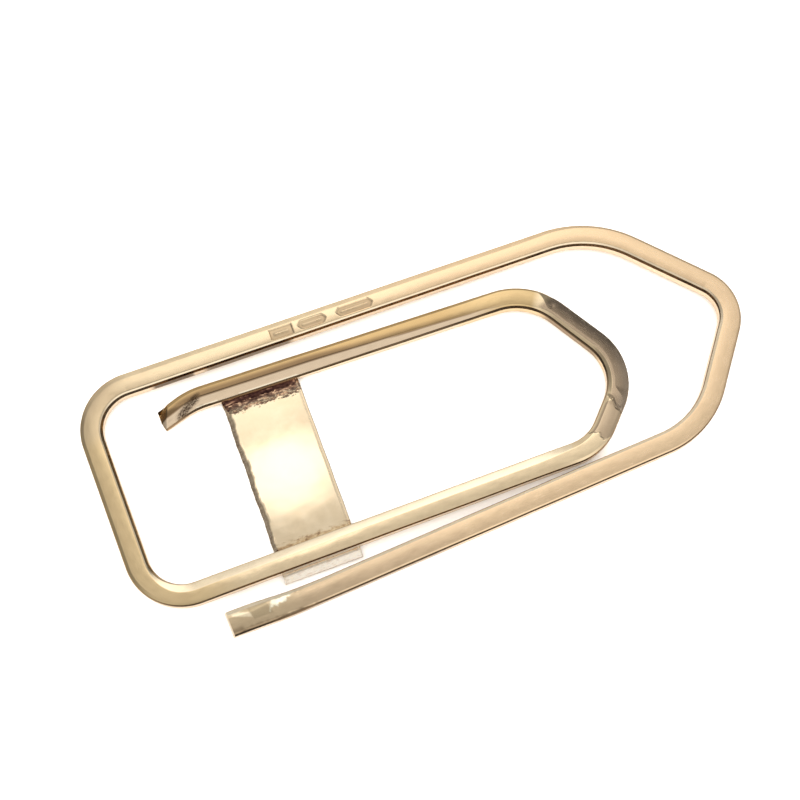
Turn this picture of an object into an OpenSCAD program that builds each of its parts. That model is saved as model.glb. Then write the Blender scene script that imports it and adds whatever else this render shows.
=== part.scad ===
// Money clip bent from one flat bar in the shape of a paper clip with pointed
// ends. The inner loop is the tongue; a thin plate soldered under its two legs
// closes it. Lengths are in millimetres. The clip lies on the plate, at z = 0.

/* [Bar] */
// Width of the bar, seen from above
bar_w = 2.0; // [1.6:0.05:2.2]
// Thickness of the bar
bar_h = 1.25; // [1.0:0.05:1.6]
// Bevel along the four long edges
bar_bevel = 0.2; // [0.05:0.05:0.3]

/* [Outer loop] */
// Length from the heel bar to the outer point
clip_l = 60.5; // [58:0.5:66]
// Upper leg centreline, above the outer point's axis
upper_leg_y = 11.1; // [10.8:0.05:12]
// Lower leg centreline at the outer point's lower corner, below that axis
lower_leg_y = 10.35; // [10.3:0.05:11]
// Splay of the free lower leg away from the tongue
leg_splay = 3.2; // [2.4:0.1:4]
// Slope of the upper flank of the outer point
outer_up_deg = 47.5; // [44:0.5:52]
// Slope of the lower flank of the outer point
outer_low_deg = 52.5; // [48:0.5:54]
// Centreline radius of the outer point's upper corner
outer_up_r = 10; // [5:0.5:12]
// Centreline radius of the outer point
outer_tip_r = 3.7; // [3:0.1:5]
// Centreline radius of the outer point's lower corner
outer_low_r = 8.5; // [4:0.5:9]
// Distance from the heel bar to the free end of the lower leg
free_end_x = 7.2; // [5:0.1:11]

/* [Heel] */
// Centreline radius of the upper heel corner
heel_up_r = 4.2; // [3:0.1:5]
// Centreline radius of the lower heel corner
heel_low_r = 4.2; // [3:0.1:5]
// Lean of the heel bar, its lower corner towards the points
heel_lean = 1.5; // [0:0.1:2.5]

/* [Tongue] */
// Length from the heel bar to the tongue's point
tongue_l = 48.4; // [46:0.1:49]
// Lower leg centreline at the heel, below the outer point's axis
tongue_low_y = 8.95; // [8.6:0.05:9]
// Height of the upper leg centreline at the tongue's point
tongue_up_y = 7.1; // [6.6:0.05:7.3]
// Convergence of the upper leg towards the point
tongue_up_deg = 1.1; // [0:0.1:1.4]
// Convergence of the lower leg towards the point
tongue_low_deg = 0.4; // [0.2:0.1:0.8]
// How far the tongue's point lies below the outer point's axis
tongue_tip_y = 2.7; // [1.5:0.1:3]
// Slope of the upper flank of the tongue's point
tongue_up_slope = 59; // [54:1:62]
// Slope of the lower flank of the tongue's point
tongue_low_slope = 46; // [44:1:52]
// Centreline radius of the point's upper corner
tongue_up_r = 6; // [3:0.5:7]
// Centreline radius of the point
tongue_tip_r = 5; // [3:0.1:6]
// Centreline radius of the point's lower corner
tongue_low_r = 5; // [2:0.5:6]
// Distance from the heel bar to the tongue's free end
tongue_end_x = 7.1; // [6:0.1:9]
// Inward bend of the tongue's free end
tongue_end_deg = 19; // [10:1:24]

/* [Flare] */
// Upward bend of the free lower leg's end
flare_deg = 10; // [4:1:14]
// Radius of that bend
flare_r = 20; // [12:1:24]
// Length of the flared end
flare_l = 6.6; // [5.5:0.1:8]

/* [Bridge plate] */
// Edge of the plate nearer the heel
plate_x = 12.7; // [12:0.1:14]
// Width of the plate along the clip
plate_w = 7.3; // [6:0.1:9]
// Thickness of the plate
plate_t = 0.45; // [0.35:0.05:0.6]
// How far the plate stands out past the lower tongue leg
plate_tab = 0.85; // [0.4:0.05:0.9]

/* [Punch marks] */
// Depth of the three blank punched cartouches
punch_depth = 0.12; // [0.05:0.01:0.2]

/* [Clearance] */
// Gap in the bar at each place where it flexes
flex_gap = 0.12; // [0.08:0.02:0.2]

/* [Hidden] */
$fn = 96;
gold = [0.86, 0.72, 0.50];
solder = [0.52, 0.40, 0.28];

// Crossing of the line through p at angle a with the line through q at angle b
function cross_pt(p, a, q, b) =
    let (t = ((q.x - p.x) * sin(b) - (q.y - p.y) * cos(b)) / (cos(a) * sin(b) - sin(a) * cos(b)))
    [p.x + t * cos(a), p.y + t * sin(a)];
function unit(v) = v / norm(v);

// A corner of the centreline: tangent points, arc centre, radius and arc ends
function corner(p, v, n, r) =
    let (a = unit(p - v), b = unit(n - v), h = acos(a * b) / 2,
         c = v + unit(a + b) * (r / sin(h)), s = v + a * (r / tan(h)), e = v + b * (r / tan(h)),
         a0 = atan2(s.y - c.y, s.x - c.x), a1 = atan2(e.y - c.y, e.x - c.x),
         d = (a1 - a0 + 540) % 360 - 180)
    [s, e, c, r, d > 0 ? a0 : a1, abs(d)];

// Corners of the centreline, sharp, from the free leg round to the tongue's end
outer_mid = (outer_up_deg + outer_low_deg) / 2;
v_outer_tip = [clip_l - bar_w / 2 - outer_tip_r
               + outer_tip_r * cos((outer_low_deg - outer_up_deg) / 2) / sin(outer_mid), 0];
v_outer_low = cross_pt(v_outer_tip, 180 + outer_low_deg, [0, -lower_leg_y], 0);
v_outer_up = cross_pt(v_outer_tip, 180 - outer_up_deg, [0, upper_leg_y], 0);
v_heel_up = [bar_w / 2 + heel_up_r * (1 - tan(45 + heel_lean / 2)), upper_leg_y];
v_heel_low = [v_heel_up.x + (upper_leg_y + tongue_low_y) * tan(heel_lean), -tongue_low_y];
tongue_mid = (tongue_up_slope + tongue_low_slope) / 2;
v_tongue_tip = [tongue_l - bar_w / 2 - tongue_tip_r
                + tongue_tip_r * cos((tongue_up_slope - tongue_low_slope) / 2) / sin(tongue_mid), -tongue_tip_y];
v_tongue_low = cross_pt(v_tongue_tip, 180 + tongue_low_slope, v_heel_low, tongue_low_deg);
v_tongue_up = cross_pt(v_tongue_tip, 180 - tongue_up_slope, [tongue_l - 5, tongue_up_y], 180 - tongue_up_deg);
v_tongue_bend = cross_pt(v_tongue_up, 180 - tongue_up_deg, [tongue_end_x + 3.1, 0], 90);
v_tongue_end = cross_pt(v_tongue_bend, 180 - tongue_up_deg + tongue_end_deg, [tongue_end_x, 0], 90);
leg_dir = 180 + leg_splay;
v_free_end = cross_pt(v_outer_low, leg_dir, [free_end_x, 0], 90);

k_outer_low = corner(v_free_end, v_outer_low, v_outer_tip, outer_low_r);
k_outer_tip = corner(v_outer_low, v_outer_tip, v_outer_up, outer_tip_r);
k_outer_up = corner(v_outer_tip, v_outer_up, v_heel_up, outer_up_r);
k_heel_up = corner(v_outer_up, v_heel_up, v_heel_low, heel_up_r);
k_heel_low = corner(v_heel_up, v_heel_low, v_tongue_low, heel_low_r);
k_tongue_low = corner(v_heel_low, v_tongue_low, v_tongue_tip, tongue_low_r);
k_tongue_tip = corner(v_tongue_low, v_tongue_tip, v_tongue_up, tongue_tip_r);
k_tongue_up = corner(v_tongue_tip, v_tongue_up, v_tongue_bend, tongue_up_r);
k_tongue_bend = corner(v_tongue_up, v_tongue_bend, v_tongue_end, 7);

leg_u = [cos(leg_dir), sin(leg_dir)];
flex_leg = k_outer_low[0] + leg_u * 0.5;
flare_start = v_free_end - leg_u * flare_l;
heel_u = unit(v_heel_low - v_heel_up);
flex_heel = cross_pt(v_heel_up, heel_lean - 90, [0, -3.2], 0);
facet_deg = 5;
y_max = upper_leg_y + bar_w / 2;
y_min = v_free_end.y - bar_w / 2 * cos(leg_splay);
shift = [-clip_l / 2, -(y_max + y_min) / 2, 0];

// Cross-section of the bar: x across it, y up from its underside
half_w = bar_w / 2;
section = [[-half_w + bar_bevel, 0], [half_w - bar_bevel, 0], [half_w, bar_bevel],
           [half_w, bar_h - bar_bevel], [half_w - bar_bevel, bar_h], [-half_w + bar_bevel, bar_h],
           [-half_w, bar_h - bar_bevel], [-half_w, bar_bevel]];

// Straight length of bar from p to q
module straight(p, q) {
    d = q - p;
    translate([p.x, p.y, plate_t]) rotate([0, 0, atan2(d.y, d.x)])
        rotate([90, 0, 90]) linear_extrude(norm(d)) polygon(section);
}

// Stations of a bent length of bar: x, y and z of its underside, heading and pitch
function station(p, heading) = [p.x, p.y, plate_t, heading, 0];
function arc_stations(k) =
    let (n = ceil(k[5] / facet_deg))
    [for (i = [0:n]) let (a = k[4] + k[5] * i / n) station(k[2] + k[3] * [cos(a), sin(a)], a + 90)];

// Point p of the section, set on station s
function placed(s, p) =
    [s.x + p.x * sin(s[3]) - p.y * cos(s[3]) * sin(s[4]),
     s.y - p.x * cos(s[3]) - p.y * sin(s[3]) * sin(s[4]),
     s.z + p.y * cos(s[4])];

// Bent length of bar, its section swept through the stations
module swept(stations) {
    n = len(section);
    last = (len(stations) - 1) * n;
    polyhedron(
        points = [for (s = stations, p = section) placed(s, p)],
        faces = concat(
            [[for (j = [n - 1:-1:0]) j]],
            [for (i = [0:len(stations) - 2], j = [0:n - 1])
                [i * n + j, i * n + (j + 1) % n, (i + 1) * n + (j + 1) % n, (i + 1) * n + j]],
            [[for (j = [0:n - 1]) last + j]]));
}

// Concave fillet of solder beside a leg: r high and wide, l long
module solder_fillet(r, l) {
    rotate([90, 0, 90]) linear_extrude(l) difference() {
        square([r, r]);
        translate([r, r]) circle(r);
    }
}

// The flare: an arc in the vertical plane through the leg, then a straight end
flare_steps = 4;
flare_arc = [for (i = [0:flare_steps]) let (a = flare_deg * i / flare_steps, run = flare_r * sin(a))
    [flare_start.x + leg_u.x * run, flare_start.y + leg_u.y * run,
     plate_t + flare_r * (1 - cos(a)), leg_dir, a]];
flare_end_l = flare_l - flare_r * flare_deg * PI / 180;
flare_tip = flare_arc[flare_steps]
            + flare_end_l * [leg_u.x * cos(flare_deg), leg_u.y * cos(flare_deg), sin(flare_deg), 0, 0];

module outer_free_end() color(gold) translate(shift) swept(concat(flare_arc, [flare_tip]));

module outer_lower_leg() color(gold) translate(shift) straight(flare_start, flex_leg + leg_u * flex_gap);

module outer_point() color(gold) translate(shift)
    swept(concat([station(flex_leg, leg_dir - 180)], arc_stations(k_outer_low),
                 arc_stations(k_outer_tip), arc_stations(k_outer_up)));

module outer_upper_leg() color(gold) translate(shift) difference() {
    straight(k_outer_up[1], k_heel_up[0]);
    translate([0, upper_leg_y - 0.1, plate_t + bar_h - punch_depth]) {
        translate([18.9, -0.5, 0]) cube([2.1, 1, 1]);
        for (c = [[22.9, 0.9], [27.0, 1.3]]) translate([c.x, 0, 0]) linear_extrude(1) {
            square([2 * c.y, 0.9], center = true);
            for (s = [-1, 1]) translate([s * c.y, 0]) circle(0.45);
        }
    }
}

module heel_bar() color(gold) translate(shift)
    swept(concat(arc_stations(k_heel_up), [station(flex_heel - heel_u * flex_gap / 2, 270 + heel_lean)]));

module heel_tongue_corner() color(gold) translate(shift)
    swept(concat([station(flex_heel + heel_u * flex_gap / 2, 270 + heel_lean)], arc_stations(k_heel_low)));

module tongue_lower_leg() color(gold) translate(shift)
    straight(k_heel_low[1], k_tongue_low[0]);

module tongue_point() color(gold) translate(shift)
    swept(concat(arc_stations(k_tongue_low), arc_stations(k_tongue_tip), arc_stations(k_tongue_up)));

module tongue_upper_leg() color(gold) translate(shift)
    straight(k_tongue_up[1], k_tongue_bend[0]);

module tongue_free_end() color(gold) translate(shift) difference() {
    swept(concat(arc_stations(k_tongue_bend), [station(v_tongue_end, 180 - tongue_up_deg + tongue_end_deg)]));
    // The end is cut on the slant
    translate([v_tongue_end.x - 2, v_tongue_end.y, 0]) rotate([0, 0, -6])
        translate([0, -3, 0]) cube([1.9, 6, 4]);
}

plate_low = v_heel_low.y + (plate_x + plate_w - v_heel_low.x) * tan(tongue_low_deg) - bar_w / 2 - plate_tab;
plate_up = tongue_up_y + (tongue_l - 5 - plate_x - plate_w) * tan(tongue_up_deg) + 0.5;
module bridge_plate() color(gold) translate(shift)
    translate([plate_x, plate_low, 0]) cube([plate_w, plate_up - plate_low, plate_t]);

module upper_solder_seam() color(solder) translate(shift)
    translate([plate_x + 0.1, tongue_up_y + (tongue_l - 5 - plate_x - 0.1) * tan(tongue_up_deg) - bar_w / 2, plate_t])
        rotate([0, 0, -tongue_up_deg]) mirror([0, 1, 0]) solder_fillet(0.7, plate_w - 0.2);

module lower_solder_seam() color(solder) translate(shift)
    translate([plate_x + 0.1, v_heel_low.y + (plate_x + 0.1 - v_heel_low.x) * tan(tongue_low_deg) + bar_w / 2, plate_t])
        rotate([0, 0, tongue_low_deg]) solder_fillet(0.45, plate_w - 0.2);

outer_free_end();
outer_lower_leg();
outer_point();
outer_upper_leg();
heel_bar();
heel_tongue_corner();
tongue_lower_leg();
tongue_point();
tongue_upper_leg();
tongue_free_end();
bridge_plate();
upper_solder_seam();
lower_solder_seam();
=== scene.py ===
import bpy
import math
import numpy as np
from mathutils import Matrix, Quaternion, Vector


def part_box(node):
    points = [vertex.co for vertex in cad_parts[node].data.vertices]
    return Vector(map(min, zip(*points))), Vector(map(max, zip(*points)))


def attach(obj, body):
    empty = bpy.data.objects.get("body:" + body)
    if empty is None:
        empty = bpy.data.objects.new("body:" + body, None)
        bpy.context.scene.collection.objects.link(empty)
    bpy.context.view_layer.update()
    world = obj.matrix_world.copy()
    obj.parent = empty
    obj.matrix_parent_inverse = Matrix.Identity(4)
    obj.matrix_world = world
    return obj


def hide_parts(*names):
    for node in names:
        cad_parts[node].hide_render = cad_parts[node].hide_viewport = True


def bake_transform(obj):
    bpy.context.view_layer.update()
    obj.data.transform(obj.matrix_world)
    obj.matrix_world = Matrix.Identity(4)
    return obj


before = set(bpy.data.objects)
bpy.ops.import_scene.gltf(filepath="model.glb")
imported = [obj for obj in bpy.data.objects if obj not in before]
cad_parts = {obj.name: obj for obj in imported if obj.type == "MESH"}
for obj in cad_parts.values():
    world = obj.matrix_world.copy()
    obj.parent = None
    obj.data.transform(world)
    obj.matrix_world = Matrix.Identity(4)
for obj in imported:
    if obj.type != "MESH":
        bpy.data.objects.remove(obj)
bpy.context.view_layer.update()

MM = 0.001
rad = math.radians

# ---------------------------------------------------------------- dimensions
# The clip's own dimensions in millimetres, the same as the CAD model's.
BAR_W, BAR_H, PLATE_T = 2.0, 1.25, 0.45
CLIP_L, UPPER_Y, LOWER_Y, SPLAY = 60.5, 11.1, 10.35, 3.2
OUT_UP, OUT_LOW, OUT_UP_R, OUT_TIP_R, OUT_LOW_R = 47.5, 52.5, 10.0, 3.7, 8.5
HEEL_UP_R, HEEL_LOW_R, HEEL_LEAN = 4.2, 4.2, 1.5
TONGUE_L, TONGUE_LOW_Y, TONGUE_UP_Y, TONGUE_TIP_Y = 48.4, 8.95, 7.1, 2.7
TONGUE_UP_DEG, TONGUE_LOW_DEG, T_UP, T_LOW = 1.1, 0.4, 59.0, 46.0
T_UP_R, T_TIP_R, T_LOW_R, T_BEND_R = 6.0, 5.0, 5.0, 7.0
FREE_X, T_END_X, T_END_DEG = 7.2, 7.1, 19.0
FLARE_DEG, FLARE_R, FLARE_L = 10.0, 20.0, 6.6

# Where these dimensions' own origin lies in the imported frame
upper_lo, upper_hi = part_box("outer_upper_leg")
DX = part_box("heel_bar")[0][0] / MM
DY = (upper_lo[1] + upper_hi[1]) / 2 / MM - UPPER_Y


# ---------------------------------------------------------------- centreline
def cross_pt(p, a, q, b):
    """Where the line through p at a degrees meets the line through q at b degrees."""
    a, b = rad(a), rad(b)
    t = ((q[0] - p[0]) * math.sin(b) - (q[1] - p[1]) * math.cos(b)) / (
        math.cos(a) * math.sin(b) - math.sin(a) * math.cos(b))
    return np.array([p[0] + t * math.cos(a), p[1] + t * math.sin(a)])


def corner_list():
    """Corners of the centreline and their radii, from the outer free end to the tongue's end."""
    mid = rad((OUT_UP + OUT_LOW) / 2)
    tip = np.array([CLIP_L - BAR_W / 2 - OUT_TIP_R
                    + OUT_TIP_R * math.cos(rad((OUT_LOW - OUT_UP) / 2)) / math.sin(mid), 0.0])
    low = cross_pt(tip, 180 + OUT_LOW, (0, -LOWER_Y), 0)
    up = cross_pt(tip, 180 - OUT_UP, (0, UPPER_Y), 0)
    free = cross_pt(low, 180 + SPLAY, (FREE_X, 0), 90)
    heel_up = np.array([BAR_W / 2 + HEEL_UP_R * (1 - math.tan(rad(45 + HEEL_LEAN / 2))), UPPER_Y])
    heel_low = np.array([heel_up[0] + (UPPER_Y + TONGUE_LOW_Y) * math.tan(rad(HEEL_LEAN)),
                         -TONGUE_LOW_Y])
    mid = rad((T_UP + T_LOW) / 2)
    t_tip = np.array([TONGUE_L - BAR_W / 2 - T_TIP_R
                      + T_TIP_R * math.cos(rad((T_UP - T_LOW) / 2)) / math.sin(mid), -TONGUE_TIP_Y])
    t_low = cross_pt(t_tip, 180 + T_LOW, heel_low, TONGUE_LOW_DEG)
    t_up = cross_pt(t_tip, 180 - T_UP, (TONGUE_L - 5, TONGUE_UP_Y), 180 - TONGUE_UP_DEG)
    t_bend = cross_pt(t_up, 180 - TONGUE_UP_DEG, (T_END_X + 3.1, 0), 90)
    t_end = cross_pt(t_bend, 180 - TONGUE_UP_DEG + T_END_DEG, (T_END_X, 0), 90)
    return [(free, 0), (low, OUT_LOW_R), (tip, OUT_TIP_R), (up, OUT_UP_R), (heel_up, HEEL_UP_R),
            (heel_low, HEEL_LOW_R), (t_low, T_LOW_R), (t_tip, T_TIP_R), (t_up, T_UP_R),
            (t_bend, T_BEND_R), (t_end, 0)]


class Path:
    """The bar's centreline in plan: straights and arcs, by arc length from the outer free end."""

    def __init__(self, corners):
        self.parts = []                       # (s0, length, kind, data)
        self.marks = [0.0]                    # where each straight and each arc begins
        s, here = 0.0, corners[0][0]
        for i in range(1, len(corners) - 1):
            p, (v, r), n = corners[i - 1][0], corners[i], corners[i + 1][0]
            a = (p - v) / np.linalg.norm(p - v)
            b = (n - v) / np.linalg.norm(n - v)
            h = math.acos(np.clip(a @ b, -1, 1)) / 2
            start, end = v + a * r / math.tan(h), v + b * r / math.tan(h)
            centre = v + (a + b) / np.linalg.norm(a + b) * r / math.sin(h)
            length = np.linalg.norm(start - here)
            self.parts.append((s, length, "line", (here, start)))
            s += length
            a0 = math.atan2(*(start - centre)[::-1])
            sweep = (math.atan2(*(end - centre)[::-1]) - a0 + 3 * math.pi) % (2 * math.pi) - math.pi
            self.marks += [s, s + abs(sweep) * r]
            self.parts.append((s, abs(sweep) * r, "arc", (centre, r, a0, sweep)))
            s += abs(sweep) * r
            here = end
        length = np.linalg.norm(corners[-1][0] - here)
        self.parts.append((s, length, "line", (here, corners[-1][0])))
        self.marks.append(s + length)

    def at(self, s):
        """Point and direction at arc length s."""
        for s0, length, kind, data in self.parts:
            if s <= s0 + length + 1e-9:
                break
        t = (s - s0) / max(length, 1e-9)
        if kind == "line":
            d = (data[1] - data[0]) / max(np.linalg.norm(data[1] - data[0]), 1e-9)
            return data[0] + d * (s - s0), d
        centre, r, a0, sweep = data
        a = a0 + sweep * t
        sign = 1 if sweep > 0 else -1
        return (centre + r * np.array([math.cos(a), math.sin(a)]),
                sign * np.array([-math.sin(a), math.cos(a)]))


# Marks: the free leg from S_FREE, the outer loop's lower corner (C), tip (B) and upper corner (A),
# the heel's upper and lower corner (HU, HL), and the tongue's lower corner (TL), tip (TT), upper
# corner (TU) and turned end (TB). 0 is where the bend begins and 1 where it ends.
path = Path(corner_list())
(S_FREE, C0, C1, B0, B1, A0, A1, HU0, HU1, HL0, HL1, TL0, TL1, TT0, TT1, TU0, TU1,
 TB0, TB1, S_END) = path.marks


def s_near(x, s0, s1):
    """Arc length between s0 and s1 where the centreline passes x."""
    best = min(np.linspace(s0, s1, 400), key=lambda s: abs(path.at(s)[0][0] - x))
    return float(best)


def smooth(t):
    t = np.clip(t, 0.0, 1.0)
    return t * t * (3 - 2 * t)


def keyed(keys, s):
    """Smooth interpolation of (s, value) keys."""
    if s <= keys[0][0]:
        return keys[0][1]
    for (s0, v0), (s1, v1) in zip(keys, keys[1:]):
        if s <= s1:
            return v0 + (v1 - v0) * float(smooth((s - s0) / max(s1 - s0, 1e-9)))
    return keys[-1][1]


def wave(s, period, phase):
    return math.sin(2 * math.pi * s / period + phase)


# ---------------------------------------------------------------- bar section
# Each section: width and drop of the slope on the inner side of the top, the same on the outer
# side, and the rounding of the two ridges between them and the top.
CRISP = (0.30, 0.080, 0.24, 0.07, 0.05)
SOFT_OUTER = (0.30, 0.080, 0.50, 0.07, 0.55)
HEEL = (0.30, 0.07, 0.34, 0.08, 0.30)
CROWNED = (0.75, 0.10, 0.45, 0.01, 0.50)
TWO_SLOPES = (0.98, 0.36, 0.30, 0.06, 0.28)
POINT = (0.40, 0.16, 1.30, 0.30, 0.22)
LOWER_FACET = (0.45, 0.16, 0.30, 0.10, 0.10)
SLOPE_BEGINS = (0.62, 0.20, 0.30, 0.06, 0.10)
SLOPE_GROWS = (0.80, 0.28, 0.30, 0.06, 0.16)
TONGUE_END = (0.9, 0.55, 0.35, 0.12, 0.12)
EDGE_RUN, EDGE_DROP = 0.11, 0.18          # narrow steep facet between the slope and the side
CROWN = 0.055                             # the top is slightly convex: its drop 1 mm off centre

SECTION_KEYS = [
    (0.0, CRISP), (C0, CRISP), (B1, CRISP), (A0 + 2, CRISP), (A1 + 4, SOFT_OUTER),
    (HU0, SOFT_OUTER), (HU1, HEEL), (HL0, HEEL), (HL1 - 1.5, CROWNED), (TL0 - 4, CROWNED),
    (TL0 + 2.6, LOWER_FACET), (TT0 + 0.2, LOWER_FACET), (TT0 + 1.6, POINT), (TU0 + 0.8, POINT),
    (TU0 + 2.4, CRISP), (TU1, CRISP), (TU1 + 3, SLOPE_BEGINS), (TU1 + 11, SLOPE_GROWS),
    (TU1 + 19, TWO_SLOPES), (TB0 - 1, TWO_SLOPES), (S_END, TONGUE_END)]


def section_at(s):
    return [keyed([(k, v[i]) for k, v in SECTION_KEYS], s) for i in range(5)]


# Size of the narrow facets along the inner and the outer edge, and how dark their painted shade is
INNER_EDGE_KEYS = [(0, 0.2), (8, 0.5), (B0, 0.6), (B1, 1.4), (HU0, 1.4), (HU1, 1.9), (HL0, 1.9),
                   (HL1, 0.6), (TL0, 0.6), (TT0, 0.9), (TT1, 1.5), (S_END, 1.4)]
OUTER_EDGE_KEYS = [(0, 1.1), (B0, 1.0), (B1, 0.4), (HU1, 0.4), (HL0, 0.8), (HL1, 1.1), (TL0, 0.9),
                   (TT0, 0.5), (S_END, 0.5)]

# Turn of the section about the bar, in degrees: positive lowers the inner edge
TWIST_KEYS = [(0, -1.5), (5, -0.5), (12, 0.3), (C0, 0), (B0, 0.4), (A1, -0.3), (A1 + 20, 0.3),
              (HU0, 0.6), (HU1 + 3, -2.5), (HL0, -2.5), (HL1, -0.5), (HL1 + 3.5, 1.3),
              (HL1 + 14, 0.7), (TL0, 0), (TT0, 1), (TT1, 0), (TU0, 0), (TU1 + 4, 0), (TB0, 0),
              (S_END, 8)]
# Width of the bar as a share of BAR_W
WIDTH_KEYS = [(0, 0.98), (8, 0.98), (C0, 1.0), (HU0, 1.0), (HL1, 0.99), (TL0, 0.98), (TT0, 1.0),
              (TU1, 0.95), (TB0, 0.97), (S_END, 0.92)]

# Points along each face of the section, in the order of the zones below, and round each corner
EDGE_SAMPLES = (4, 6, 3, 6, 14, 6, 3, 6)
ARC_SAMPLES = 5
FOOT_R, SHOULDER_R, EDGE_R = 0.12, 0.06, 0.04    # rounding at the bottom and round the facets


def ring(width, height, wi, di, wo, do, r_top, edge_in=1.0, edge_out=1.0):
    """Closed section (u across, inner side positive; v up), with a constant number of points."""
    a = width / 2
    run_in, drop_in = EDGE_RUN * edge_in, EDGE_DROP * edge_in
    run_out, drop_out = EDGE_RUN * edge_out, EDGE_DROP * edge_out
    corners = [(-a, 0, FOOT_R), (a, 0, FOOT_R), (a, height - di - drop_in, SHOULDER_R),
               (a - run_in, height - di, EDGE_R), (a - wi, height, r_top),
               (-a + wo, height, r_top), (-a + run_out, height - do, EDGE_R),
               (-a, height - do - drop_out, SHOULDER_R)]
    n = len(corners)
    p = np.array([c[:2] for c in corners], float)
    lens = [np.linalg.norm(p[(i + 1) % n] - p[i]) for i in range(n)]
    arcs = []
    for i in range(n):
        prev, here, nxt = p[i - 1], p[i], p[(i + 1) % n]
        d0 = (prev - here) / lens[i - 1]
        d1 = (nxt - here) / lens[i]
        h = math.acos(np.clip(d0 @ d1, -1, 1)) / 2
        t = min(corners[i][2] / math.tan(h) if h < 1.5 else 0.4, 0.46 * lens[i - 1], 0.46 * lens[i])
        q0, q1 = here + d0 * t, here + d1 * t
        k = np.linspace(0, 1, ARC_SAMPLES)[:, None]
        arcs.append((1 - k) ** 2 * q0 + 2 * k * (1 - k) * here + k ** 2 * q1)
    pts = []
    for i in range(n):
        pts.append(arcs[i])
        q0, q1 = arcs[i][-1], arcs[(i + 1) % n][0]
        m = EDGE_SAMPLES[i]
        k = (np.arange(1, m) / m)[:, None]
        pts.append(q0 + (q1 - q0) * k)
    pts = np.concatenate(pts)
    pts[:, 1] -= np.where(pts[:, 1] > height * 0.7, CROWN * pts[:, 0] ** 2, 0)
    return pts


BOTTOM, INNER_SIDE, INNER_EDGE, INNER_SLOPE, TOP, OUTER_SLOPE, OUTER_EDGE, OUTER_SIDE = range(8)
ZONES = []                                # which face of the section each of its points is on
for face, samples in enumerate(EDGE_SAMPLES):
    half = ARC_SAMPLES // 2
    ZONES += [(face - 1) % 8] * half + [face] * (ARC_SAMPLES - half + samples - 1)
RING_N = len(ZONES)


POINT_DIP = 0.22                          # the tongue's point lies this much lower than its legs


def base_z(s):
    """Height of the bar's underside above the plate's underside."""
    z = PLATE_T
    flare0 = FLARE_L - s
    if flare0 > 0:                                    # the raised free end
        a = rad(FLARE_DEG)
        arc_end = FLARE_R * math.sin(a)
        z += (FLARE_R - math.sqrt(FLARE_R ** 2 - flare0 ** 2) if flare0 < arc_end
              else FLARE_R * (1 - math.cos(a)) + (flare0 - arc_end) * math.tan(a))
    mid = (TT0 + TT1) / 2
    return z - POINT_DIP * keyed([(TL0 - 3, 0), (mid, 1), (TU1 + 3, 0)], s)


def pitch(s):
    """Rise of the bar per millimetre of its length."""
    return (base_z(s + 0.05) - base_z(s - 0.05)) / 0.1


def twist_at(s):
    return keyed(TWIST_KEYS, s) + 0.25 * wave(s, 17.0, 0.4) + 0.12 * wave(s, 7.3, 2.0)


def width_at(s):
    return BAR_W * min(keyed(WIDTH_KEYS, s) + 0.004 * wave(s, 11.0, 1.0), 1.0)


BENDS = ((C0, C1), (B0, B1), (A0, A1), (HU0, HU1), (HL0, HL1), (TU0, TU1))
MARKED_X = (17.5, 31)                     # the punch marks lie between these two x on the upper leg
WORKED = ((0, 8), (s_near(MARKED_X[1], A1, HU0), s_near(MARKED_X[0], A1, HU0)),
          (TL0, TT1 + 1), (TU0, TU0 + 3), (TB0 - 1, S_END))
STEP_WORKED, STEP_BENT, STEP_STRAIGHT = 0.09, 0.14, 0.25


def stations(s0, s1):
    """Arc lengths of the rings: closer together in the bends and where the bar is worked."""
    out, s = [s0], s0
    while s < s1 - 1e-6:
        bent = any(a - 0.5 < s < b + 0.5 for a, b in BENDS)
        worked = any(a < s < b for a, b in WORKED)
        step = STEP_WORKED if worked else STEP_BENT if bent else STEP_STRAIGHT
        s = min(s + step, s1)
        if s1 - s < step * 0.4:
            s = s1
        out.append(s)
    return out


# ---------------------------------------------------------------- hand work on the bar
def band(x, lo, hi, soft):
    """1 between lo and hi, with soft edges."""
    return float(smooth((x - lo) / soft + 0.5) * smooth((hi - x) / soft + 0.5))


def field(x, y, cx, cy, half_len, half_h, pointed):
    """1 inside one punched field, 0 outside, soft over 0.1 mm."""
    dx = abs(x - cx)
    dy = abs(y - cy)
    if pointed:
        d = max(dx + dy * 0.8 - half_len, dy - half_h)
    else:
        d = max(dx - half_len, dy - half_h)
    return float(smooth(0.5 - d / 0.10))


# The three punched fields: x of the middle, half length, half height, and whether it is pointed
MARK_Y = UPPER_Y - 0.1
MARK_DEPTH, RIB_RISE, RIB_HALF_H, RIB_MARGIN = 0.10, 0.05, 0.12, 0.35
MARKS = ((19.95, 1.05, 0.5, False), (22.9, 1.35, 0.40, True), (27.0, 1.75, 0.42, True))


def punch(x, y):
    """Depth of the three punched fields; each holds one plain rib."""
    depth = 0.0
    if abs(y - MARK_Y) < 1.2:
        for cx, half_len, half_h, pointed in MARKS:
            inside = field(x, y, cx, MARK_Y, half_len, half_h, pointed)
            if inside > 0:
                rib = field(x, y, cx, MARK_Y, half_len - RIB_MARGIN, RIB_HALF_H, pointed)
                depth = max(depth, inside * (MARK_DEPTH - RIB_RISE * rib))
    return depth


# Flats beaten or filed into the free end: station and offset of a point on the flat's ridge,
# the fall of the ridge on both sides of that station, and the slope across the bar.
FLATS = (
    (2.0, 0.62, 0.020, -0.20), (4.5, 0.35, 0.050, -0.11), (5.5, 0.60, 0.080, -0.17),
    (6.5, 0.66, 0.050, -0.15), (5.0, 0.78, 0.100, -0.26),
    (5.2, -0.60, 0.045, 0.35), (1.0, -0.55, 0.100, 0.30))
FLATS_END, FLATS_DEEPEST = 9, 0.22


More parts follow.
